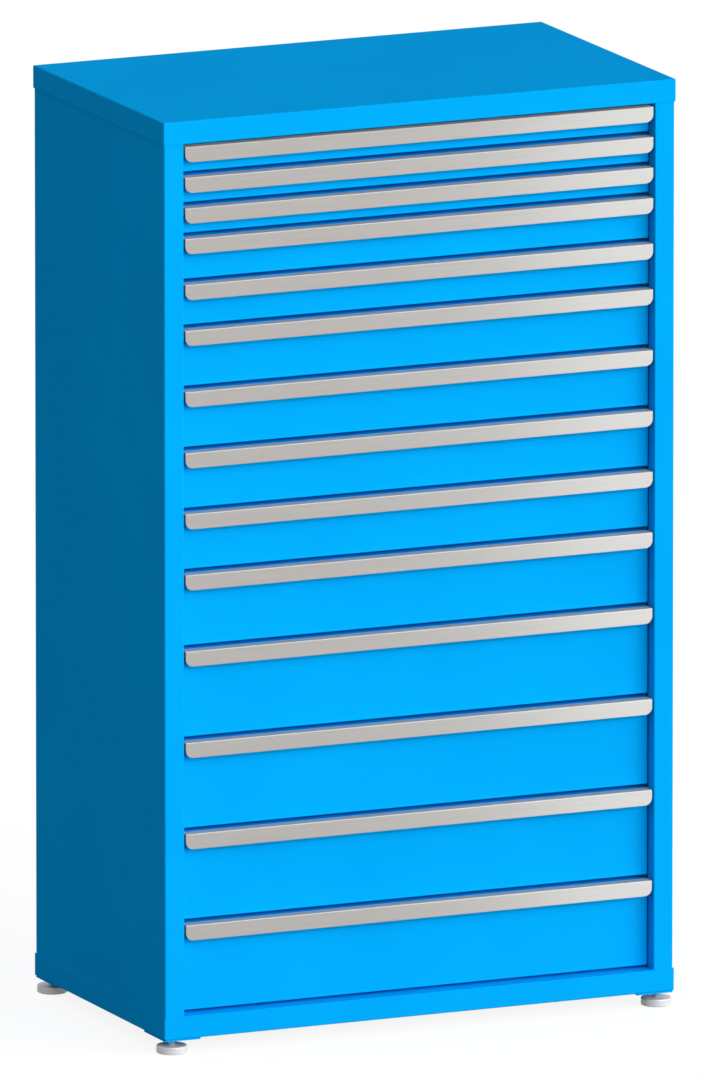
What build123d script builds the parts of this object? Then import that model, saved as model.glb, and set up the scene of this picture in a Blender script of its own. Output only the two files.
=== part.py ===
"""Floor-standing sheet-steel cabinet with fourteen drawers on telescopic slides and levelling feet.

Millimetres. X runs to the right seen from the front, Y to the back, Z up from the floor. The origin is
on the floor, under the middle of the housing, and the drawers open towards -Y.
"""

import os

from build123d import *

# Housing
cabinet_width = 900.0  # over the cap and the base pan
cabinet_depth = 525.0
foot_height = 25.0  # from the floor to the underside of the base pan
cap_flange = 37.0  # height of the cap's rim
base_flange = 37.0  # height of the base pan's rim
wrap_sheet = 1.5  # cap and base pan
panel_sheet = 1.2  # sides and back
wrap_clearance = 0.3  # between the rims and the body that they wrap
stile_width = 34.0  # front face of a side panel, beside the drawers
jamb_depth = 25.0  # the stile's edge, folded back beside the drawers
rear_flange = 20.0  # rear fold of a side panel
cap_lip = 20.0  # fold at the foot of the cap's front rim
base_lip = 45.0  # fold at the top of the base pan's front rim
lip_clearance = 0.5  # from the ends of both lips to the jambs

# Drawers, from the top one down
drawer_module = 25.0  # every cell is a whole number of modules high
drawer_modules = (2, 2, 2, 3, 3, 4, 4, 4, 4, 5, 6, 6, 6, 6)
top_gap = 6.0  # from the cap's rim to the first front
bottom_gap = 4.5  # from the last front to the base pan's lip
front_gap = 6.0  # between one front and the next
front_side_gap = 1.7  # from a front to the jamb
front_recess = 21.0  # from the stiles back to the fronts
front_sheet = 1.2
front_return = 12.0  # fold at the sides and the lower edge of a front
front_top_return = 30.0  # fold at its upper edge, over the tray
tray_sheet = 1.0
tray_lift = 3.0  # tray floor above the front's lower edge
tray_drop = 6.0  # tray walls below the front's upper edge
tray_rear_gap = 20.0  # from a closed tray to the back panel

# Handles
handle_face = 25.0  # height of the grip
handle_recess = 0.5  # from the stiles back to the grip
handle_end_gap = 3.2  # from a grip's end to the jamb
handle_sheet = 1.5
handle_leg = 14.0  # height of the leg that lies on the front
handle_bend = 2.5  # outside radius of both folds
handle_corner = 12.5  # radius of the grip's lower corners
handle_rivets = 4  # through the leg of one handle
handle_rivet_drop = 8.0  # below the top of the handle
handle_rivet_edge = 30.0  # from the last rivet to the handle's end

# Slides: a cabinet rail, a middle rail inside it, and the tray's runner inside that
slide_space = 14.2  # from the jamb's plane to the tray's wall
rail_sheet = 1.5
rail_height = 36.0  # cabinet rail
rail_centre = 17.5  # above the underside of the tray
rail_front_gap = 3.0  # behind the fold of the front
rail_rear_gap = 2.5  # in front of the tray's back
running_gap = 0.3  # above and below each sliding member
web_gap = 1.0  # beside each sliding member

# Slotted posts that carry the cabinet rails
post_width = 40.0
post_sheet = 1.5
post_nut_gap = 6.5  # from the nut of the foot to the post
slot_width = 10.0
slot_height = 12.0
hook_side_gap = 0.5  # beside a rail's hook in its slot
hook_height = 6.0
hook_drop = 5.0  # how far the hook reaches down behind the post
hook_sheet = 1.5

# Blind rivets
rivet_shank = 2.0  # radius
rivet_hole = 2.1  # radius
rivet_head = 3.8  # radius
rivet_head_height = 1.2
rivet_tail = 2.9  # radius of the set end
rivet_tail_height = 1.3
back_rivets = 8  # up each side of the back panel
back_rivet_edge = 60.0  # from the first and the last to the panel's ends

# Levelling feet
foot_inset = 22.0  # from the housing's side, front or back to the foot's axis
pad_radius = 25.0
pad_height = 12.5
pad_round = 2.0  # radius of the pad's rims
pad_socket_floor = 4.0
stud_radius = 6.0
stud_length = 50.0  # above the pad
stud_pin = 5.0  # radius of the end that turns in the pad
stud_clearance = 0.06  # radial, in the pad and in the nut
stud_seat_gap = 0.2  # under the shoulder and under the pin
stud_slot_width = 2.0
stud_slot_depth = 3.0
nut_flats = 18.0
nut_height = 10.8
floor_hole = 7.0  # radius, in the base pan and its corner plates
plate_width = 62.0
plate_depth = 85.0
plate_thickness = 3.0
plate_inset = 2.0  # from the base pan's edges

# Levels and planes worked out from the sizes above
half_width = cabinet_width / 2
half_depth = cabinet_depth / 2
cells_height = drawer_module * sum(drawer_modules)
base_top = foot_height + base_flange
cells_bottom = base_top + bottom_gap - front_gap
cells_top = cells_bottom + cells_height
cap_bottom = cells_top + top_gap
cabinet_top = cap_bottom + cap_flange
body_bottom = foot_height + wrap_sheet
body_top = cabinet_top - wrap_sheet
body_inset = wrap_sheet + wrap_clearance
body_half_width = half_width - body_inset
body_half_depth = half_depth - body_inset
side_inner = body_half_width - panel_sheet
jamb_x = body_half_width - stile_width
stile_y = -body_half_depth
front_y = stile_y + front_recess
front_half_width = jamb_x - front_side_gap
back_inner_y = body_half_depth - 2 * panel_sheet
tray_half_width = jamb_x - slide_space
tray_back_y = back_inner_y - tray_rear_gap
rail_front_y = front_y + front_return + rail_front_gap
rail_back_y = tray_back_y - rail_rear_gap
middle_height = rail_height - 2 * (rail_sheet + running_gap)
runner_height = middle_height - 2 * (rail_sheet + running_gap)
rail_tip_x = tray_half_width + rail_sheet + web_gap
middle_web_x = jamb_x - rail_sheet - web_gap
runner_tip_x = middle_web_x - rail_sheet - web_gap
rail_level = tray_lift + rail_centre
nut_corner = nut_flats / 3**0.5
post_near_y = half_depth - foot_inset - nut_corner - post_nut_gap
post_middle_y = post_near_y - post_width / 2
foot_x = half_width - foot_inset
foot_y = half_depth - foot_inset
stud_top = pad_height + stud_seat_gap + stud_length


def block(x, y, z):
    """A solid box, each argument being a pair of coordinates in either order."""
    spans = [sorted(pair) for pair in (x, y, z)]
    middle = [(low + high) / 2 for low, high in spans]
    return Pos(*middle) * Box(*(high - low for low, high in spans))


def fused(pieces):
    """One solid from pieces that share faces."""
    first, *rest = pieces
    return first.fuse(*rest).clean()


def both_sides(piece):
    """The piece on the right, and its mirror image on the left."""
    return [piece, mirror(piece, about=Plane.YZ)]


def front_and_back(piece):
    """The piece at the back, and its mirror image at the front."""
    return [piece, mirror(piece, about=Plane.XZ)]


def drawer_levels():
    """Bottom and top of every cell, from the first drawer down."""
    top = cells_top
    for modules in drawer_modules:
        yield top - modules * drawer_module, top
        top -= modules * drawer_module


def upright_hole(radius, x, y, z):
    """A round cutter standing at (x, y), between two levels z."""
    low, high = z
    return Pos(x, y, (low + high) / 2) * Cylinder(radius, high - low)


def round_along_y(radius, x, z, y):
    """A round bar along Y at (x, z), between two planes y."""
    low, high = y
    return Pos(x, (low + high) / 2, z) * Rot(90, 0, 0) * Cylinder(radius, high - low)


def rim_pan(rim_low, rim_high, sheet_low, sheet_high):
    """A sheet with a rim folded all round it."""
    outer = block((-half_width, half_width), (-half_depth, half_depth), (rim_low, rim_high))
    inner_x = half_width - wrap_sheet
    inner_y = half_depth - wrap_sheet
    hollow = block((-inner_x, inner_x), (-inner_y, inner_y), (rim_low, rim_high))
    inside = (-inner_x, inner_x), (-inner_y, inner_y)
    return fused([outer - hollow, block(*inside, (sheet_low, sheet_high))])


def front_lip(depth, low):
    """The fold of a front rim, between the jambs."""
    reach = jamb_x - lip_clearance
    return block((-reach, reach), (-half_depth, -half_depth + depth), (low, low + wrap_sheet))


def top_cap():
    pan = rim_pan(cap_bottom, cabinet_top, body_top, cabinet_top)
    return fused([pan, front_lip(cap_lip, cap_bottom)])


def base_pan():
    pan = rim_pan(foot_height, base_top, foot_height, body_bottom)
    pan = fused([pan, front_lip(base_lip, base_top - wrap_sheet)])
    holes = [upright_hole(floor_hole, x, y, (foot_height, body_bottom)) for x, y in foot_places()]
    return pan - holes


def back_rivet_levels():
    span = body_top - body_bottom - 2 * back_rivet_edge
    return [body_bottom + back_rivet_edge + span * i / (back_rivets - 1) for i in range(back_rivets)]


def back_rivet_x():
    return body_half_width - rear_flange / 2


def side_panel():
    """The right side: wall, front stile with its jamb, and rear fold."""
    z = body_bottom, body_top
    wall = block((side_inner, body_half_width), (stile_y, body_half_depth), z)
    stile = block((jamb_x, body_half_width), (stile_y, stile_y + panel_sheet), z)
    jamb = block((jamb_x, jamb_x + panel_sheet), (stile_y, stile_y + jamb_depth), z)
    fold_x = body_half_width - rear_flange, body_half_width
    fold_y = body_half_depth - panel_sheet, body_half_depth
    fold = block(fold_x, fold_y, z)
    holes = [round_along_y(rivet_hole, back_rivet_x(), level, fold_y) for level in back_rivet_levels()]
    return fused([wall, stile, jamb, fold]) - holes


def back_panel():
    """A flat sheet behind the drawers, on the inner faces of the rear folds."""
    reach = side_inner - wrap_clearance
    y = back_inner_y, back_inner_y + panel_sheet
    sheet = block((-reach, reach), y, (body_bottom, body_top))
    places = [(x, level) for x in (-back_rivet_x(), back_rivet_x()) for level in back_rivet_levels()]
    return sheet - [round_along_y(rivet_hole, x, level, y) for x, level in places]


def rivet(x, z, head_y, tail_y):
    """A set blind rivet along Y, with its head outside head_y and its tail beyond tail_y."""
    way = 1 if head_y > tail_y else -1
    head_end = head_y + way * rivet_head_height
    tail_end = tail_y - way * rivet_tail_height
    head = round_along_y(rivet_head, x, z, sorted((head_y, head_end)))
    tail = round_along_y(rivet_tail, x, z, sorted((tail_y, tail_end)))
    shank = round_along_y(rivet_shank, x, z, sorted((head_end, tail_end)))
    return fused([shank, head, tail])


def back_panel_rivets():
    heads = [rivet(back_rivet_x(), z, body_half_depth, back_inner_y) for z in back_rivet_levels()]
    return [piece for head in heads for piece in both_sides(head)]


def slide_posts():
    """Four upright channels with a slot at every module, between the side walls and the rails."""
    z = body_bottom, body_top
    y = post_near_y - post_width, post_near_y
    web = block((jamb_x, jamb_x + post_sheet), y, z)
    near = block((jamb_x, side_inner), (post_near_y - post_sheet, post_near_y), z)
    far = block((jamb_x, side_inner), (y[0], y[0] + post_sheet), z)
    across = jamb_x, jamb_x + post_sheet
    along = post_middle_y - slot_width / 2, post_middle_y + slot_width / 2
    first = cells_bottom + front_gap + rail_level
    levels = [first + drawer_module * i for i in range(sum(drawer_modules))]
    slots = [block(across, along, (level - slot_height / 2, level + slot_height / 2)) for level in levels]
    post = fused([web, near, far]) - slots
    return [piece for half in front_and_back(post) for piece in both_sides(half)]


def channel(web_x, tip_x, height, level):
    """A rail of U section from a web, given as a pair of planes, to its tips, at a level.

    The drawers' travel is the rails' length less the thickness of their stops, so half of every rail still
    lies in its neighbour when a drawer is out.
    """
    y = rail_front_y, rail_back_y
    low, high = level - height / 2, level + height / 2
    far = max(web_x, key=lambda x: abs(x - tip_x))
    web = block(web_x, y, (low, high))
    lower = block((far, tip_x), y, (low, low + rail_sheet))
    upper = block((far, tip_x), y, (high - rail_sheet, high))
    return fused([web, lower, upper])


def rail_hook(y, level):
    """A hook on the back of a cabinet rail, through a slot and down behind the post."""
    reach = jamb_x + post_sheet
    across = y - slot_width / 2 + hook_side_gap, y + slot_width / 2 - hook_side_gap
    foot = level - slot_height / 2
    tongue = block((jamb_x, reach + hook_sheet), across, (foot, foot + hook_height))
    lip = block((reach, reach + hook_sheet), across, (foot - hook_drop, foot + hook_height))
    return fused([tongue, lip])


def cabinet_rails():
    """The fixed rails of every drawer, hung in the posts."""
    rails = []
    for bottom, top in drawer_levels():
        level = bottom + front_gap + rail_level
        rail = channel((jamb_x - rail_sheet, jamb_x), rail_tip_x, rail_height, level)
        hooks = [rail_hook(y, level) for y in (-post_middle_y, post_middle_y)]
        rails += both_sides(fused([rail, *hooks]))
    return rails


def middle_rails(bottom):
    """The pair of sliding members between a drawer and the cabinet."""
    web = middle_web_x - rail_sheet, middle_web_x
    return both_sides(channel(web, rail_tip_x, middle_height, bottom + front_gap + rail_level))


def handle_rivet_places():
    span = 2 * (jamb_x - handle_end_gap - handle_rivet_edge)
    return [span * (i / (handle_rivets - 1) - 0.5) for i in range(handle_rivets)]


def drawer(bottom, top):
    """Front with folded edges, welded tray behind it, and a runner down each side."""
    low = bottom + front_gap
    reach = front_half_width
    fold_y = front_y, front_y + front_return
    top_y = front_y, front_y + front_top_return
    sheet_y = front_y, front_y + front_sheet
    face = block((-reach, reach), sheet_y, (low, top))
    lower_fold = block((-reach, reach), fold_y, (low, low + front_sheet))
    upper_fold = block((-reach, reach), top_y, (top - front_sheet, top))
    ends = both_sides(block((reach - front_sheet, reach), fold_y, (low, top)))

    floor = low + tray_lift
    rim = top - tray_drop
    inside_y = sheet_y[1], tray_back_y
    wide = -tray_half_width, tray_half_width
    bottom_sheet = block(wide, inside_y, (floor, floor + tray_sheet))
    wall = block((tray_half_width - tray_sheet, tray_half_width), inside_y, (floor, rim))
    back = block(wide, (tray_back_y - tray_sheet, tray_back_y), (floor, rim))
    web = tray_half_width, tray_half_width + rail_sheet
    runner = channel(web, runner_tip_x, runner_height, low + rail_level)
    front = [face, lower_fold, upper_fold, *ends]
    tray = [bottom_sheet, back, *both_sides(wall), *both_sides(runner)]
    level = top - handle_rivet_drop
    holes = [round_along_y(rivet_hole, x, level, sheet_y) for x in handle_rivet_places()]
    return fused(front + tray) - holes


def handle(top):
    """A strip folded over from a leg on the front to a grip level with the stiles, and its rivets."""
    reach = jamb_x - handle_end_gap
    grip_y = stile_y + handle_recess
    long = -reach, reach
    grip = block(long, (grip_y, grip_y + handle_sheet), (top - handle_face, top))
    web = block(long, (grip_y, front_y), (top - handle_sheet, top))
    leg = block(long, (front_y - handle_sheet, front_y), (top - handle_leg, top))
    strip = fused([grip, web, leg])
    along = strip.edges().filter_by(Axis.X).group_by(Axis.Z)
    strip = fillet(along[-1], handle_bend)
    inside = strip.edges().filter_by(Axis.X).group_by(Axis.Z)[-2]
    strip = fillet(inside, handle_bend - handle_sheet)
    corners = strip.edges().filter_by(Axis.Y).group_by(Axis.Z)[0]
    strip = fillet(corners, handle_corner)
    level = top - handle_rivet_drop
    leg_y = front_y - handle_sheet
    holes = [round_along_y(rivet_hole, x, level, (leg_y, front_y)) for x in handle_rivet_places()]
    rivets = [rivet(x, level, leg_y, front_y + front_sheet) for x in handle_rivet_places()]
    return [strip - holes, *rivets]


def foot_places():
    return [(x, y) for y in (-foot_y, foot_y) for x in (-foot_x, foot_x)]


def corner_plates():
    """Doubling plates under the corners of the base pan."""
    x = half_width - plate_inset - plate_width, half_width - plate_inset
    y = half_depth - plate_inset - plate_depth, half_depth - plate_inset
    z = foot_height - plate_thickness, foot_height
    plate = block(x, y, z) - upright_hole(floor_hole, foot_x, foot_y, z)
    return [piece for half in front_and_back(plate) for piece in both_sides(half)]


def foot_nuts():
    """Nuts welded inside the base pan, in which the studs turn."""
    outline = RegularPolygon(nut_corner, 6)
    nut = extrude(outline, nut_height) - Pos(0, 0, nut_height / 2) * Cylinder(
        stud_radius + stud_clearance, nut_height
    )
    return [Pos(x, y, body_bottom) * nut for x, y in foot_places()]


def foot_pad(x, y):
    disc = Pos(0, 0, pad_height / 2) * Cylinder(pad_radius, pad_height)
    disc = fillet(disc.edges().filter_by(GeomType.CIRCLE), pad_round)
    socket = upright_hole(stud_pin + stud_clearance, 0, 0, (pad_socket_floor, pad_height))
    return Pos(x, y, 0) * (disc - socket)


def foot_stud(x, y):
    """A threaded stud with a pin that turns in the pad and a screwdriver slot in its top end."""
    shoulder = pad_height + stud_seat_gap
    pin = upright_hole(stud_pin, x, y, (pad_socket_floor + stud_seat_gap, shoulder))
    thread = upright_hole(stud_radius, x, y, (shoulder, stud_top))
    half = stud_slot_width / 2
    across = x - stud_radius, x + stud_radius
    slot = block(across, (y - half, y + half), (stud_top - stud_slot_depth, stud_top))
    return fused([pin, thread]) - slot


def save(name, pieces):
    """Write one piece, or a group of separate pieces, as one file."""
    group = pieces if isinstance(pieces, list) else [pieces]
    solids = [solid for piece in group for solid in piece.solids()]
    export_step(Compound(solids) if len(solids) > 1 else solids[0], f"parts/{name}.step")


def main():
    os.makedirs("parts", exist_ok=True)
    save("top_cap", top_cap())
    save("base_pan", base_pan())
    right, left = both_sides(side_panel())
    save("right_side_panel", right)
    save("left_side_panel", left)
    save("back_panel", back_panel())
    save("back_panel_rivets", back_panel_rivets())
    save("slide_posts", slide_posts())
    save("cabinet_rails", cabinet_rails())
    save("corner_plates", corner_plates())
    save("foot_nuts", foot_nuts())
    corners = ("front_left", "front_right", "rear_left", "rear_right")
    for corner, (x, y) in zip(corners, foot_places()):
        save(f"foot_pad_{corner}", foot_pad(x, y))
        save(f"foot_stud_{corner}", foot_stud(x, y))
    for number, (bottom, top) in enumerate(drawer_levels(), 1):
        save(f"drawer_{number:02d}", drawer(bottom, top))
        save(f"handle_{number:02d}", handle(top))
        save(f"slide_{number:02d}", middle_rails(bottom))


main()
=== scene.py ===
import math

import bmesh
import bpy
import numpy as np
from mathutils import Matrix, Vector


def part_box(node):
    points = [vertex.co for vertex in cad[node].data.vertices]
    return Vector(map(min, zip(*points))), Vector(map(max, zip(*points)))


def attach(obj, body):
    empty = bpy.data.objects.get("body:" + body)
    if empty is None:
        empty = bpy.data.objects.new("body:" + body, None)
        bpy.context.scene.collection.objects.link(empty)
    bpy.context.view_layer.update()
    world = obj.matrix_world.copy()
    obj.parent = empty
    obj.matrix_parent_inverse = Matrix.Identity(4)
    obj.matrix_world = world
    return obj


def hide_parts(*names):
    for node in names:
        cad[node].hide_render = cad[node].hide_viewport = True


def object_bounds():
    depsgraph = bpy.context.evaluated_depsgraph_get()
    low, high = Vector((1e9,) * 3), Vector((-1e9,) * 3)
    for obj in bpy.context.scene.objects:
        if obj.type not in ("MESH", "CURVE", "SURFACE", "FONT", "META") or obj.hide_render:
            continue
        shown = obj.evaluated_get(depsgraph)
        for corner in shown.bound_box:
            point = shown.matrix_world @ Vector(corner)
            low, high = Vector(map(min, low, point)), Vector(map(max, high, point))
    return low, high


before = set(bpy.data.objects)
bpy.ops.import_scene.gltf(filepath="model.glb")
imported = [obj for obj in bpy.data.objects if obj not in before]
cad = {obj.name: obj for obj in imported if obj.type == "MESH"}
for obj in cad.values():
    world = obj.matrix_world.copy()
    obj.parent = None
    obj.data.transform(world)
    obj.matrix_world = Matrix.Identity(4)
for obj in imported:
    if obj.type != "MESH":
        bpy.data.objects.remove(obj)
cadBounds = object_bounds()  # the size of the cabinet's CAD parts; the camera aims at half its height
scene = bpy.context.scene
scene.view_settings.view_transform = "Standard"
mm = 0.001


def linearColour(hexText):
    # sRGB to linear light: c / 12.92 up to 0.04045, and ((c + 0.055) / 1.055) to the power 2.4 above it
    c = np.array([int(hexText[i:i + 2], 16) for i in (1, 3, 5)]) / 255
    return (*np.where(c <= 0.04045, c / 12.92, ((c + 0.055) / 1.055) ** 2.4), 1.0)


def addNode(tree, kind, settings=None, links=None):
    # settings go to the node's sockets, or to its own properties where it has no such socket
    node = tree.nodes.new(kind)
    for key, value in (settings or {}).items():
        if isinstance(key, int) or key in node.inputs:
            node.inputs[key].default_value = value
        else:
            setattr(node, key, value)
    for key, output in (links or {}).items():
        tree.links.new(output, node.inputs[key])
    return node


def startMaterial(name):
    material = bpy.data.materials.new(name)
    material.use_nodes = True
    material.node_tree.nodes.clear()
    return material, material.node_tree


noiseSpan = 0.3, 0.7  # nearly all of a noise pattern lies between these


def finishSurface(tree, finish, shade, fine):
    # the shade pattern blends the two shades, and the fine one the two roughnesses; it also raises the relief
    tint = addNode(tree, "ShaderNodeValToRGB", links={"Fac": shade})
    for stop, spot, colour in zip(tint.color_ramp.elements, finish["stops"], finish["shades"]):
        stop.position, stop.color = spot, linearColour(colour)
    (low, high), (smooth, rough) = noiseSpan, finish["roughness"]
    gloss = addNode(tree, "ShaderNodeMapRange",
                    {"From Min": low, "From Max": high, "To Min": smooth, "To Max": rough}, {"Value": fine})
    links = {"Base Color": tint.outputs["Color"], "Roughness": gloss.outputs["Result"]}
    if "relief" in finish:
        bump = addNode(tree, "ShaderNodeBump", {"Strength": finish["strength"], "Distance": finish["relief"]},
                       {"Height": fine})
        links["Normal"] = bump.outputs["Normal"]
    shader = addNode(tree, "ShaderNodeBsdfPrincipled", finish["shader"], links)
    addNode(tree, "ShaderNodeOutputMaterial", links={"Surface": shader.outputs["BSDF"]})


# Polyester powder coat, baked on folded steel: an even, nearly matt blue with a faint orange peel.
# The peel of such a coat is 2 to 3 mm wide; it is drawn at 5 mm, as the finer one is lost in the render.
powderCoat = {"shades": ("#02AAF8", "#03AEFC"), "stops": (0.35, 0.65), "patch": 260 * mm, "peel": 5 * mm,
              "relief": 0.03 * mm, "strength": 0.5, "roughness": (0.78, 0.88),
              "shader": {"Specular IOR Level": 0.005}}


def makePowderCoat():
    material, tree = startMaterial("bluePowderCoat")
    place = addNode(tree, "ShaderNodeTexCoord").outputs["Object"]
    patch = addNode(tree, "ShaderNodeTexNoise", {"Scale": 1 / powderCoat["patch"], "Detail": 2.0},
                    {"Vector": place}).outputs["Fac"]
    peel = addNode(tree, "ShaderNodeTexNoise", {"Scale": 1 / powderCoat["peel"], "Detail": 1.0},
                   {"Vector": place}).outputs["Fac"]
    finishSurface(tree, powderCoat, patch, peel)
    return material


# Anodised aluminium strip, brushed lengthwise before the bath: warm grey, satin, with a fine grain along X.
# The real grain is under 0.2 mm wide; it is drawn at 0.9 mm so that it still shows.
# The oxide layer scatters most of the light, so the strip is only a little of a mirror.
gripFinish = {"shades": ("#AAA6A2", "#B1AEAB"), "stops": (0.3, 0.7), "grainWidth": 0.9 * mm,
              "grainLength": 120 * mm, "relief": 0.001 * mm, "strength": 0.2, "roughness": (0.3, 0.36),
              "shader": {"Metallic": 0.2}}


def makeGripFinish():
    material, tree = startMaterial("satinAluminium")
    place = addNode(tree, "ShaderNodeTexCoord").outputs["Object"]
    across = 1 / gripFinish["grainWidth"]
    drawn = addNode(tree, "ShaderNodeMapping", {"Scale": (1 / gripFinish["grainLength"], across, across)},
                    {"Vector": place}).outputs["Vector"]
    grain = addNode(tree, "ShaderNodeTexNoise", {"Scale": 1.0, "Detail": 3.0},
                    {"Vector": drawn}).outputs["Fac"]
    finishSurface(tree, gripFinish, grain, grain)
    return material


# Bright zinc plating on cold-rolled steel: cool grey metal, clouded in soft patches where the bath drained.
# The clear passivation over it scatters about a third of the light.
zincFinish = {"shades": ("#B2B7BC", "#CBCFD3"), "stops": (0.3, 0.7), "cloud": 14 * mm,
              "roughness": (0.28, 0.44), "shader": {"Metallic": 0.65}}


def makeZincFinish():
    material, tree = startMaterial("zincPlatedSteel")
    place = addNode(tree, "ShaderNodeTexCoord").outputs["Object"]
    cloud = addNode(tree, "ShaderNodeTexNoise", {"Scale": 1 / zincFinish["cloud"], "Detail": 4.0},
                    {"Vector": place}).outputs["Fac"]
    finishSurface(tree, zincFinish, cloud, cloud)
    return material


# Turned steel foot under a silver-grey lacquer: pale and satin, with a few metal flakes in it and the lathe's
# fine rings just showing through.
# The rings are 0.4 mm apart on the lathe; they are drawn at 1.2 mm so that they still show.
footFinish = {"shades": ("#DADADA", "#E4E4E3"), "stops": (0.3, 0.7), "ring": 1.2 * mm, "relief": 0.01 * mm,
              "strength": 0.3, "roughness": (0.3, 0.42), "shader": {"Metallic": 0.15}}


def makeFootFinish():
    material, tree = startMaterial("lightGreyLacquer")
    place = addNode(tree, "ShaderNodeTexCoord").outputs["Object"]
    stacked = addNode(tree, "ShaderNodeMapping", {"Scale": (1.0, 1.0, 1 / footFinish["ring"])},
                      {"Vector": place}).outputs["Vector"]
    ring = addNode(tree, "ShaderNodeTexNoise", {"Scale": 1.0, "Detail": 1.0},
                   {"Vector": stacked}).outputs["Fac"]
    finishSurface(tree, footFinish, ring, ring)
    return material


finishes = {"blue_powder_coat": makePowderCoat(), "satin_aluminium": makeGripFinish(),
            "zinc_plated_steel": makeZincFinish(), "light_grey_foot": makeFootFinish()}
print("materials:", ", ".join(m.name for m in finishes.values()))

foldSteps = 6  # straight stretches in the arc of a fold
cornerSteps = 5  # and in a rounded corner of a pan
leastCorner = 0.2 * mm  # what is left of a corner on the inside of a sheet
crispTurn = 35.0  # degrees; an edge that turns by more stays crisp


def tubeQuads(rings, around):
    # on a grid of closed rings, point i of a ring joins i + 1 beside it and both of the next ring
    ring, i = np.meshgrid(np.arange(rings - 1) * around, np.arange(around), indexing="ij")
    j = (i + 1) % around
    return np.stack([ring + i, ring + j, ring + around + j, ring + around + i], -1).reshape(-1, 4)


def arc(centre, radius, start, stop, steps=foldSteps):
    # points at equal angles, in degrees, on a circle
    angle = np.radians(np.linspace(start, stop, steps + 1))
    return np.stack([centre[0] + radius * np.cos(angle), centre[1] + radius * np.sin(angle)], 1)


def foldedLine(corners, bend):
    # a line through the corners where every fold is an arc: the arc starts bend x tan(half the turn) before
    # its corner, and its points are the centre less the turning normal times the radius. The normals are
    # given back too.
    corners = np.asarray(corners, float)
    runs = np.diff(corners, axis=0)
    runs /= np.linalg.norm(runs, axis=1, keepdims=True)
    sides = np.stack([-runs[:, 1], runs[:, 0]], 1)
    points, normals = [corners[:1]], [sides[:1]]
    for k in range(1, len(corners) - 1):
        turn = math.atan2(np.dot(runs[k], sides[k - 1]), np.dot(runs[k], runs[k - 1]))
        if abs(turn) < 1e-6:  # a point on a straight run
            points.append(corners[k:k + 1])
            normals.append(sides[k:k + 1])
            continue
        way = math.copysign(1, turn)
        start = corners[k] - runs[k - 1] * bend * math.tan(abs(turn) / 2)
        centre = start + sides[k - 1] * way * bend
        sweep = np.linspace(0, turn, foldSteps + 1)
        normal = np.outer(np.cos(sweep), sides[k - 1]) - np.outer(np.sin(sweep), runs[k - 1])
        points.append(centre - way * bend * normal)
        normals.append(normal)
    return np.concatenate([*points, corners[-1:]]), np.concatenate([*normals, sides[-1:]])


def foldedSheet(corners, bend, sheet, axis, ends):
    # a folded line and the same line moved along its normals by the sheet's thickness make a closed section,
    # which is carried along one axis; ends gives its two places there, for all the points or for each
    line, normals = foldedLine(corners, bend)
    section = np.concatenate([line, (line + sheet * normals)[::-1]])
    around = len(section)
    points = np.empty((2, around, 3))
    for side, end in zip(points, ends):
        side[:, axis] = end(section) if callable(end) else end
    points[..., [i for i in range(3) if i != axis]] = section
    i = np.arange(around // 2 - 1)
    strip = np.stack([i, i + 1, around - 2 - i, around - 1 - i], 1)
    return points.reshape(-1, 3), np.concatenate([tubeQuads(2, around), strip, strip + around]), []


def pan(halfA, halfB, corner, profile):
    # each profile point (inset, level) becomes a ring: a rectangle with rounded corners, smaller by the
    # inset, at that level. The first and the last ring are closed flat.
    inset, level = (column[:, None] for column in np.asarray(profile, float).T)
    radius = np.maximum(corner - inset, leastCorner)
    inCorner = cornerSteps + 1
    angle = np.radians(np.arange(4)[:, None] * 90 + np.linspace(0, 90, inCorner)).ravel()
    signA, signB = np.repeat([1, -1, -1, 1], inCorner), np.repeat([1, 1, -1, -1], inCorner)
    a = signA * (halfA - inset - radius) + radius * np.cos(angle)
    b = signB * (halfB - inset - radius) + radius * np.sin(angle)
    rings, around = a.shape
    rim = np.arange(around)
    points = np.stack([a, b, np.broadcast_to(level, a.shape)], -1).reshape(-1, 3)
    return points, tubeQuads(rings, around), [rim, rim + (rings - 1) * around]


def turned(radius, level, around):
    # a turned form: x = r cos, y = r sin, z = level, each given for a whole ring or for every point of it
    angle = np.linspace(0, 2 * np.pi, around, endpoint=False)
    rings = len(radius)
    r, z = (np.broadcast_to(np.reshape(grid, (rings, -1)), (rings, around)) for grid in (radius, level))
    rim = np.arange(around)
    points = np.stack([r * np.cos(angle), r * np.sin(angle), z], -1).reshape(-1, 3)
    return points, tubeQuads(rings, around), [rim, rim + (rings - 1) * around]


def repeated(shell, places):
    # the shell moved to every place; each copy's faces count on from the copies before it
    points, quads, rims = shell
    starts = np.arange(len(places)) * len(points)
    moved = (np.asarray(places, float)[:, None] + points).reshape(-1, 3)
    faces = (starts[:, None, None] + quads).reshape(-1, 4)
    return moved, faces, [start + rim for start in starts for rim in rims]


def mirrored(shell, signs=(-1, 1, 1)):
    # the same shell on the other side of the plane x = 0, or of the one that the signs give
    return shell[0] * signs, shell[1], shell[2]


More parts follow.
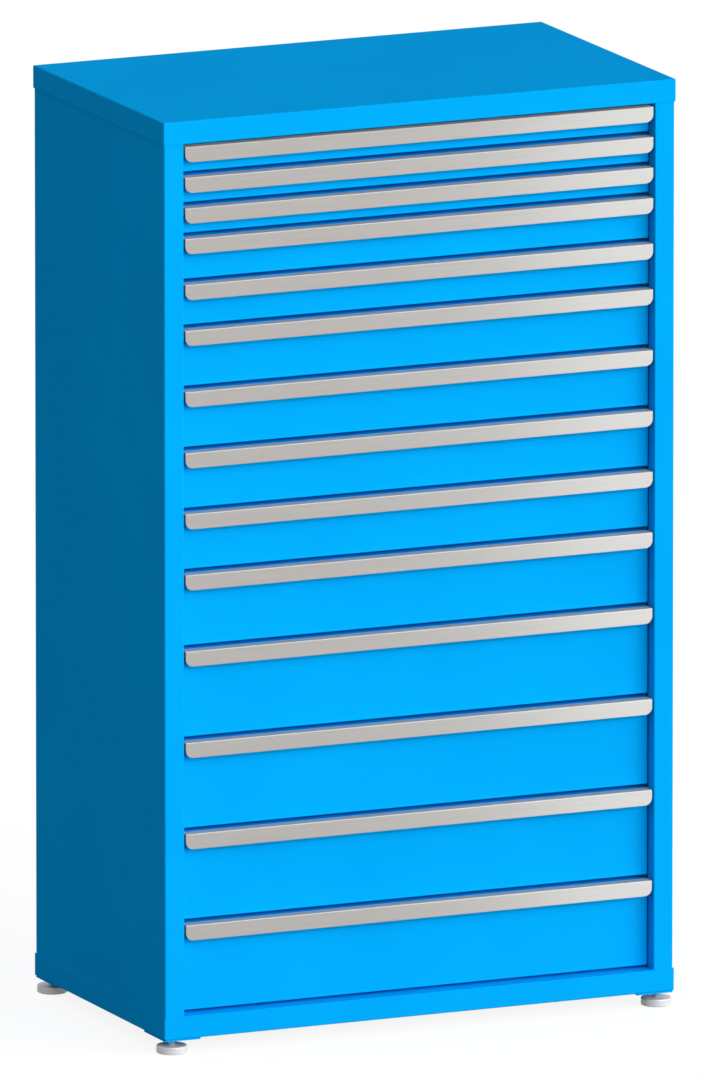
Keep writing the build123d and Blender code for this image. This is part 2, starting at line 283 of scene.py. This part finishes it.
def makePiece(name, shells, slot, body, *stoodFor):
    # all the shells as one mesh on one body, smooth over the folds and crisp at the cut edges
    starts = np.cumsum([0] + [len(shell[0]) for shell in shells])
    faces = []
    for (points, quads, rims), start in zip(shells, starts):
        faces += (quads + start).tolist() + [(rim + start).tolist() for rim in rims]
    mesh = bpy.data.meshes.new(name)
    mesh.from_pydata(np.concatenate([shell[0] for shell in shells]).tolist(), [], faces)
    work = bmesh.new()
    work.from_mesh(mesh)
    bmesh.ops.recalc_face_normals(work, faces=work.faces)
    work.to_mesh(mesh)
    work.free()
    mesh.shade_smooth()
    mesh.set_sharp_from_angle(angle=math.radians(crispTurn))
    mesh.materials.append(finishes[slot])
    piece = bpy.data.objects.new(name, mesh)
    scene.collection.objects.link(piece)
    even = piece.modifiers.new("evenNormals", "WEIGHTED_NORMAL")
    even.keep_sharp = True
    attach(piece, body)
    if stoodFor:
        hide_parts(*stoodFor)
    return piece


# Cap and base pan: sheets with a rim folded down or up all round, and a lip folded in at the front
wrap = {"sheet": 1.5 * mm, "bend": 2.2 * mm, "edge": 0.3 * mm, "corner": 1.8 * mm, "capLip": 20 * mm,
        "baseLip": 45 * mm, "lipClearance": 0.5 * mm}
sidePanel = {"sheet": 1.2 * mm, "bend": 1.8 * mm, "jamb": 25 * mm, "rearFold": 20 * mm}

capLow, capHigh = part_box("top_cap")
baseLow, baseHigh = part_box("base_pan")
sideLow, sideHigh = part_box("right_side_panel")
jambX = sideLow.x


def rimProfile(closed, edge, way):
    # (inset, level) from the closed face, round its fold, along the rim, round its free edge and back inside;
    # way is 1 where the closed face lies above the rim
    bend, sheet, cut = wrap["bend"], wrap["sheet"], wrap["edge"]
    turn = closed - way * bend
    return np.concatenate([arc((bend, turn), bend, way * 90, way * 180),
                           arc((cut, edge + way * cut), cut, way * 180, way * 270), [(sheet, edge)],
                           arc((bend, turn), bend - sheet, way * 180, way * 90)])


def frontLip(depth, top, rimY):
    # a flat strip from the rim's inner face back between the jambs
    reach = jambX - wrap["lipClearance"]
    line = [(rimY + wrap["sheet"], top), (rimY + depth, top)]
    return foldedSheet(line, 0, -wrap["sheet"], 0, (-reach, reach))


capPan = pan(capHigh.x, capHigh.y, wrap["corner"], rimProfile(capHigh.z, capLow.z, 1))
capLip = frontLip(wrap["capLip"], capLow.z + wrap["sheet"], capLow.y)
makePiece("topCap", [capPan, capLip], "blue_powder_coat", "cabinet", "top_cap")
basePan = pan(baseHigh.x, baseHigh.y, wrap["corner"], rimProfile(baseLow.z, baseHigh.z, -1))
baseLip = frontLip(wrap["baseLip"], baseHigh.z, baseLow.y)
makePiece("basePan", [basePan, baseLip], "blue_powder_coat", "cabinet", "base_pan")

# Side panels: jamb, stile, wall and rear fold are one sheet, folded three times and carried from pan to cap
rightSide = foldedSheet([(jambX, sideLow.y + sidePanel["jamb"]), (jambX, sideLow.y), (sideHigh.x, sideLow.y),
                         (sideHigh.x, sideHigh.y), (sideHigh.x - sidePanel["rearFold"], sideHigh.y)],
                        sidePanel["bend"], sidePanel["sheet"], 2, (sideLow.z, sideHigh.z))
makePiece("rightSidePanel", [rightSide], "blue_powder_coat", "cabinet", "right_side_panel")
makePiece("leftSidePanel", [mirrored(rightSide)], "blue_powder_coat", "cabinet", "left_side_panel")
print("housing: cap, base pan and side panels")

# Blind rivets: a domed head with the mandrel's dimple, and a set tail behind the sheets. The dimple's rim and
# middle are shares of the mandrel, and the pole is the small ring that closes a flat end.
rivet = {"headRadius": 3.8 * mm, "headHeight": 1.2 * mm, "flange": 0.25 * mm, "mandrel": 1.1 * mm,
         "dimple": 0.4 * mm, "dimpleRings": (0.85, 0.05), "tailRadius": 2.9 * mm, "tailHeight": 1.3 * mm,
         "pole": 0.05 * mm, "domeRings": 6, "tailRings": 4, "around": 16,
         "backCount": 8, "gripCount": 4, "gripDrop": 8 * mm, "gripEdge": 30 * mm}


def rivetShells(grip):
    # head: r = R cos t and h = flange + dome x sin t up to the mandrel's rim, then down into its dimple.
    # tail: half an ellipse on the other side of the gripped sheets. Both lie along Y, the head towards -Y.
    pole, headRadius, headHeight = rivet["pole"], rivet["headRadius"], rivet["headHeight"]
    t = np.linspace(0, math.acos(rivet["mandrel"] / headRadius), rivet["domeRings"])
    rise = (headHeight - rivet["flange"]) / np.sin(t[-1])
    dimple = rivet["mandrel"] * np.array(rivet["dimpleRings"])
    radius = np.concatenate([[pole, headRadius], headRadius * np.cos(t), dimple])
    level = np.concatenate([[0, 0], rivet["flange"] + rise * np.sin(t), [headHeight - rivet["dimple"]] * 2])
    turn = np.linspace(0, np.pi / 2, rivet["tailRings"], endpoint=False)
    tailRadius = np.concatenate([[pole], rivet["tailRadius"] * np.cos(turn), [pole]])
    tailLevel = np.concatenate([[0], rivet["tailHeight"] * np.sin(turn), [rivet["tailHeight"]]])
    shells = (turned(radius, -level, rivet["around"]), turned(tailRadius, grip + tailLevel, rivet["around"]))
    return [(points[:, [0, 2, 1]], quads, rims) for points, quads, rims in shells]


rivetsLow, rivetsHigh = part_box("back_panel_rivets")
backX = rivetsHigh.x - rivet["headRadius"]
backZ = np.linspace(rivetsLow.z + rivet["headRadius"], rivetsHigh.z - rivet["headRadius"], rivet["backCount"])
backPlaces = [(x, sideHigh.y, z) for x in (-backX, backX) for z in backZ]
backShells = [mirrored(shell, (1, -1, 1)) for shell in rivetShells(2 * sidePanel["sheet"])]
makePiece("backRivets", [repeated(shell, backPlaces) for shell in backShells], "zinc_plated_steel", "cabinet",
          "back_panel_rivets")

# these keep their own shapes and get a finish
ownShapes = {"back_panel": "blue_powder_coat", "slide_posts": "blue_powder_coat",
             "corner_plates": "blue_powder_coat", "cabinet_rails": "zinc_plated_steel",
             "foot_nuts": "zinc_plated_steel"}
for name, slot in ownShapes.items():
    cad[name].data.materials.clear()
    cad[name].data.materials.append(finishes[slot])
print("housing: back rivets, posts, rails, corner plates and nuts")

# Drawers: a front folded back all round, a tray with hemmed walls welded behind it, and a runner on each side
front = {"sheet": 1.2 * mm, "bend": 1.8 * mm, "corner": 1.6 * mm, "fold": 12 * mm, "topFold": 30 * mm}
tray = {"sheet": 1.0 * mm, "bend": 2.0 * mm, "corner": 3.0 * mm, "lift": 3 * mm, "drop": 6 * mm,
        "hem": 8 * mm, "hemSteps": 8, "slideSpace": 14.2 * mm}
runner = {"sheet": 1.5 * mm, "bend": 2.2 * mm, "gap": 0.3 * mm, "webGap": 1.0 * mm}
strip = {"sheet": 1.5 * mm, "bend": 1.7 * mm, "leg": 14 * mm, "corner": 12.5 * mm, "cornerPoints": 13}


def frontShell(low, high):
    # the same fold as a pan's, turned to face -Y: levels are y, and the rectangle stands in X and Z
    bend, sheet, y = front["bend"], front["sheet"], low.y
    back = y + front["fold"]
    profile = np.concatenate([arc((bend, y + bend), bend, 270, 180), [(0, back), (sheet, back)],
                              arc((bend, y + bend), bend - sheet, 180, 270)])
    points, quads, rims = pan(high.x, (high.z - low.z) / 2, front["corner"], profile)
    return points[:, [0, 2, 1]] + (0, 0, (high.z + low.z) / 2), quads, rims


def topFold(low, high):
    # the front's upper fold goes on over the tray
    line = [(low.y + front["fold"], high.z), (low.y + front["topFold"], high.z)]
    return foldedSheet(line, 0, -front["sheet"], 0, (-high.x, high.x))


def trayShell(low, high):
    # floor, fold, wall, a hem of twice the sheet rolled over the top inwards, and back down the inside
    bend, sheet = tray["bend"], tray["sheet"]
    floor, rim = low.z + tray["lift"], high.z - tray["drop"]
    hemEnd = rim - tray["hem"]
    profile = np.concatenate([arc((bend, floor + bend), bend, 270, 180),
                              arc((sheet, rim - sheet), sheet, 180, 0, tray["hemSteps"]),
                              [(2 * sheet, hemEnd), (sheet, hemEnd)],
                              arc((bend, floor + bend), bend - sheet, 180, 270)])
    inside = low.y + front["sheet"]
    points, quads, rims = pan(jambX - tray["slideSpace"], (high.y - inside) / 2, tray["corner"], profile)
    return points + (0, (high.y + inside) / 2, 0), quads, rims


def channel(webX, tipX, level, height, ends):
    # a U of two folds, from one tip round the web to the other, carried along Y
    low, high = level - height / 2, level + height / 2
    line = [(tipX, low), (webX, low), (webX, high), (tipX, high)]
    return foldedSheet(line, runner["bend"], math.copysign(runner["sheet"], webX - tipX), 1, ends)


def stripShell(low, high, frontY):
    # leg, top and grip in one folded line. Its half length is full, but near the grip's lower edge it is
    # drawn in round a corner: reach = full - R + sqrt(R^2 - (R - height)^2)
    full, radius = high.x, strip["corner"]
    fall = low.z + radius * (1 - np.cos(np.radians(np.linspace(90, 0, strip["cornerPoints"]))))

    def reach(section):
        rise = np.clip(section[:, 1] - low.z, 0, radius)
        return full - radius + np.sqrt(radius ** 2 - (radius - rise) ** 2)

    line = [(frontY, high.z - strip["leg"]), (frontY, high.z), (low.y, high.z), *((low.y, z) for z in fall)]
    return foldedSheet(line, strip["bend"], strip["sheet"], 0, (lambda s: -reach(s), reach))


# single lamps are kept to the pieces in these two
grips, cardLit = (bpy.data.collections.new(name) for name in ("grips", "cardLit"))
drawerCount = sum(name.startswith("drawer_") for name in cad)
for number in range(1, drawerCount + 1):
    tag = f"{number:02d}"
    drawerBody, slideBody = f"drawer_{tag}", f"slide_{tag}"
    low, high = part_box(f"drawer_{tag}")
    shells = [frontShell(low, high), topFold(low, high), trayShell(low, high)]
    makePiece(f"drawerShell_{tag}", shells, "blue_powder_coat", drawerBody, f"drawer_{tag}")

    railLow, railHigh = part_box(f"slide_{tag}")
    ends, level = (railLow.y, railHigh.y), (railLow.z + railHigh.z) / 2
    height, wall = railHigh.z - railLow.z, jambX - tray["slideSpace"]
    reach = railHigh.x - runner["sheet"] - runner["webGap"]
    inner = channel(wall, reach, level, height - 2 * (runner["sheet"] + runner["gap"]), ends)
    makePiece(f"drawerRunners_{tag}", [inner, mirrored(inner)], "zinc_plated_steel", drawerBody)
    middle = channel(railHigh.x, wall + runner["sheet"] + runner["webGap"], level, height, ends)
    makePiece(f"middleRails_{tag}", [middle, mirrored(middle)], "zinc_plated_steel", slideBody,
              f"slide_{tag}")

    gripLow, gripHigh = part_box(f"handle_{tag}")
    grip = makePiece(f"gripStrip_{tag}", [stripShell(gripLow, gripHigh, low.y)], "satin_aluminium",
                     drawerBody, f"handle_{tag}")
    grips.objects.link(grip)
    cardLit.objects.link(grip)
    edge = gripHigh.x - rivet["gripEdge"]
    places = [(x, low.y - strip["sheet"], high.z - rivet["gripDrop"])
              for x in np.linspace(-edge, edge, rivet["gripCount"])]
    rivetSet = [repeated(shell, places) for shell in rivetShells(strip["sheet"] + front["sheet"])]
    makePiece(f"gripRivets_{tag}", rivetSet, "satin_aluminium", drawerBody)
print("drawers:", drawerCount)

# Levelling feet: a turned pad and a stud with a rolled metric thread that turns in it
pad = {"round": 2.0 * mm, "socket": 5.06 * mm, "socketFloor": 4 * mm, "pole": 0.1 * mm, "around": 48}
stud = {"pitch": 1.75 * mm, "depth": 0.95 * mm, "pin": 5.0 * mm, "shoulder": 12.7 * mm, "chamfer": 1.2 * mm,
        "perTurn": 10, "around": 20}


def padShell(low, high):
    # rings from the underside's middle out, round both rims, in over the top and down into the stud's socket
    radius, height, edge = (high.x - low.x) / 2, high.z - low.z, pad["round"]
    pole, socket, socketFloor = pad["pole"], pad["socket"], pad["socketFloor"]
    outline = np.concatenate([[(pole, 0)], arc((radius - edge, edge), edge, 270, 360),
                              arc((radius - edge, height - edge), edge, 0, 90),
                              [(socket, height), (socket, socketFloor), (pole, socketFloor)]])
    points, quads, rims = turned(outline[:, 0], low.z + outline[:, 1], pad["around"])
    return points + ((low.x + high.x) / 2, (low.y + high.y) / 2, 0), quads, rims


def studShell(low, high):
    # r(angle, z) = crest - depth x (1 - cos(2 pi (z / pitch - angle / 2 pi))) / 2, with the depth fading out
    # over one pitch at both ends and the crest chamfered at the top; below the shoulder a plain pin
    around, crest, pitch, shoulder = stud["around"], (high.x - low.x) / 2, stud["pitch"], stud["shoulder"]
    rings = int((high.z - shoulder) / pitch * stud["perTurn"])
    z = np.linspace(shoulder, high.z, rings)[:, None]
    angle = np.linspace(0, 2 * np.pi, around, endpoint=False)
    fade = np.clip(np.minimum(z - shoulder, high.z - z) / pitch, 0, 1)
    groove = fade * stud["depth"] * (1 - np.cos(2 * np.pi * z / pitch - angle)) / 2
    r = np.minimum(crest - groove, crest - stud["chamfer"] + (high.z - z))
    pin = np.full((2, around), stud["pin"])
    level = np.concatenate([[low.z, shoulder], z[:, 0]])
    points, quads, rims = turned(np.concatenate([pin, r]), level, around)
    return points + ((low.x + high.x) / 2, (low.y + high.y) / 2, 0), quads, rims


for corner in ("front_left", "front_right", "rear_left", "rear_right"):
    padName, studName = f"foot_pad_{corner}", f"foot_stud_{corner}"
    label = "".join(word.capitalize() for word in corner.split("_"))
    footPad = makePiece(f"footPad{label}", [padShell(*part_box(padName))], "light_grey_foot", padName, padName)
    footStud = makePiece(f"footStud{label}", [studShell(*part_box(studName))], "zinc_plated_steel", studName,
                         studName)
    cardLit.objects.link(footPad)
    cardLit.objects.link(footStud)
print("feet: 4 pads and 4 studs")

# Studio: white floor and white surround, a key fanned out over the front right, and weak fills from the left
# and the back. A glint that only gloss sees draws the folds. The grips' tops have a sky of their own, and two
# cards light the grips and the feet alone, in their gloss, most of all at their right ends.
studio = {"surround": 0.38, "floorAlbedo": "#7C7C7C", "floorGlow": 0.884, "floorSize": 60.0,
          "cardColour": (0.87, 0.96, 1.0)}
# azimuth, elevation and disc in degrees, strength, and the rays that see the lamp
suns = {"keyFront": (5.0, 14.0, 36.0, 1.08, "visible_diffuse"),
        "keyMiddle": (35.0, 14.0, 36.0, 1.05, "visible_diffuse"),
        "keyRight": (58.0, 11.0, 36.0, 1.44, "visible_diffuse"),
        "leftFill": (265.0, 2.0, 20.0, 0.14, "visible_diffuse"),
        "rearFill": (170.0, 3.0, 30.0, 0.6, "visible_diffuse"),
        "edgeGlint": (42.0, 53.0, 40.0, 1.6, "visible_glossy"),
        "gripSky": (0.0, 88.0, 20.0, 1.0, "visible_diffuse")}
cards = {"tallCard": {"place": (1.03, -0.96, 0.88), "size": (1.0, 1.74), "tilt": 90.0, "power": 14.5},
         "lowCard": {"place": (0.88, -0.68, 0.01), "size": (1.0, 0.56), "tilt": 180.0, "power": 4.4}}
white = (1, 1, 1, 1)


def seenRay(tree):
    # 1 for camera, glossy and transmission rays, which see the white surround, and 0 for light on surfaces
    path = addNode(tree, "ShaderNodeLightPath").outputs
    first = addNode(tree, "ShaderNodeMath", {"operation": "MAXIMUM"},
                    {0: path["Is Camera Ray"], 1: path["Is Glossy Ray"]}).outputs["Value"]
    return addNode(tree, "ShaderNodeMath", {"operation": "MAXIMUM"},
                   {0: first, 1: path["Is Transmission Ray"]}).outputs["Value"]


world = bpy.data.worlds.new("whiteSurround")
scene.world = world
world.use_nodes = True
world.node_tree.nodes.clear()
level = addNode(world.node_tree, "ShaderNodeMapRange", {"To Min": studio["surround"], "To Max": 1.0},
                {"Value": seenRay(world.node_tree)}).outputs["Result"]
sky = addNode(world.node_tree, "ShaderNodeBackground", {"Color": white}, {"Strength": level})
addNode(world.node_tree, "ShaderNodeOutputWorld", links={"Surface": sky.outputs["Background"]})

floorMaterial, tree = startMaterial("whiteFloor")
glow = addNode(tree, "ShaderNodeMath", {"operation": "MULTIPLY", 1: studio["floorGlow"]},
               {0: seenRay(tree)}).outputs["Value"]
paint = addNode(tree, "ShaderNodeBsdfDiffuse", {"Color": linearColour(studio["floorAlbedo"])}).outputs["BSDF"]
shine = addNode(tree, "ShaderNodeEmission", {"Color": white}, {"Strength": glow}).outputs["Emission"]
both = addNode(tree, "ShaderNodeAddShader", links={0: paint, 1: shine}).outputs["Shader"]
addNode(tree, "ShaderNodeOutputMaterial", links={"Surface": both})
half = studio["floorSize"] / 2
floorMesh = bpy.data.meshes.new("floor")
floorMesh.from_pydata([(-half, -half, 0), (half, -half, 0), (half, half, 0), (-half, half, 0)], [],
                      [(0, 1, 2, 3)])
floorMesh.materials.append(floorMaterial)
floor = bpy.data.objects.new("floor", floorMesh)
scene.collection.objects.link(floor)


def towards(azimuth, elevation):
    # the unit direction at these degrees: azimuth 0 is to the front and 90 to the right
    a, e = math.radians(azimuth), math.radians(elevation)
    return Vector((math.sin(a) * math.cos(e), -math.cos(a) * math.cos(e), math.sin(e)))


for name, (azimuth, elevation, disc, strength, seen) in suns.items():
    sun = bpy.data.objects.new(name, bpy.data.lights.new(name, "SUN"))
    sun.data.energy, sun.data.angle = strength, math.radians(disc)
    sun.rotation_mode = "QUATERNION"
    sun.rotation_quaternion = towards(azimuth, elevation).to_track_quat("Z", "Y")
    sun.visible_diffuse = sun.visible_glossy = False
    setattr(sun, seen, True)
    scene.collection.objects.link(sun)
onFloor = bpy.data.collections.new("onFloor")
onFloor.objects.link(floor)
# it lifts the strips' narrow tops out of the shade of what is above them, so only the floor blocks it
gripSky = bpy.data.objects["gripSky"].light_linking
gripSky.receiver_collection, gripSky.blocker_collection = grips, onFloor

for name, made in cards.items():
    card = bpy.data.objects.new(name, bpy.data.lights.new(name, "AREA"))
    card.data.shape, card.data.energy = "RECTANGLE", made["power"]
    card.data.size, card.data.size_y = made["size"]
    card.data.color = studio["cardColour"]
    card.location, card.rotation_euler = made["place"], (math.radians(made["tilt"]), 0, 0)
    card.visible_camera = card.visible_diffuse = False
    card.light_linking.receiver_collection = cardLit
    scene.collection.objects.link(card)
print("studio: floor, surround,", len(suns), "suns and", len(cards), "cards")

# Camera: the photograph is a parallel view, so a very long lens stands far off
shot = {"azimuth": -24.0, "elevation": 12.0, "lens": 1100.0, "sensor": 36.0, "frameHeight": 1737.42 * mm,
        "right": -4.14 * mm, "up": -2.85 * mm, "clipEnd": 200.0}
back = towards(shot["azimuth"], shot["elevation"])
turn = back.to_track_quat("Z", "Y")
middle = Vector((0, 0, cadBounds[1].z / 2)) + turn @ Vector((shot["right"], shot["up"], 0))
camera = bpy.data.objects.new("camera", bpy.data.cameras.new("camera"))
camera.data.lens, camera.data.sensor_width = shot["lens"], shot["sensor"]
camera.data.clip_end = shot["clipEnd"]
camera.rotation_mode = "QUATERNION"
camera.rotation_quaternion = turn
camera.location = middle + back * (shot["frameHeight"] * shot["lens"] / shot["sensor"])
scene.collection.objects.link(camera)
scene.camera = camera
print("camera:", round(camera.location.length, 2), "m off")
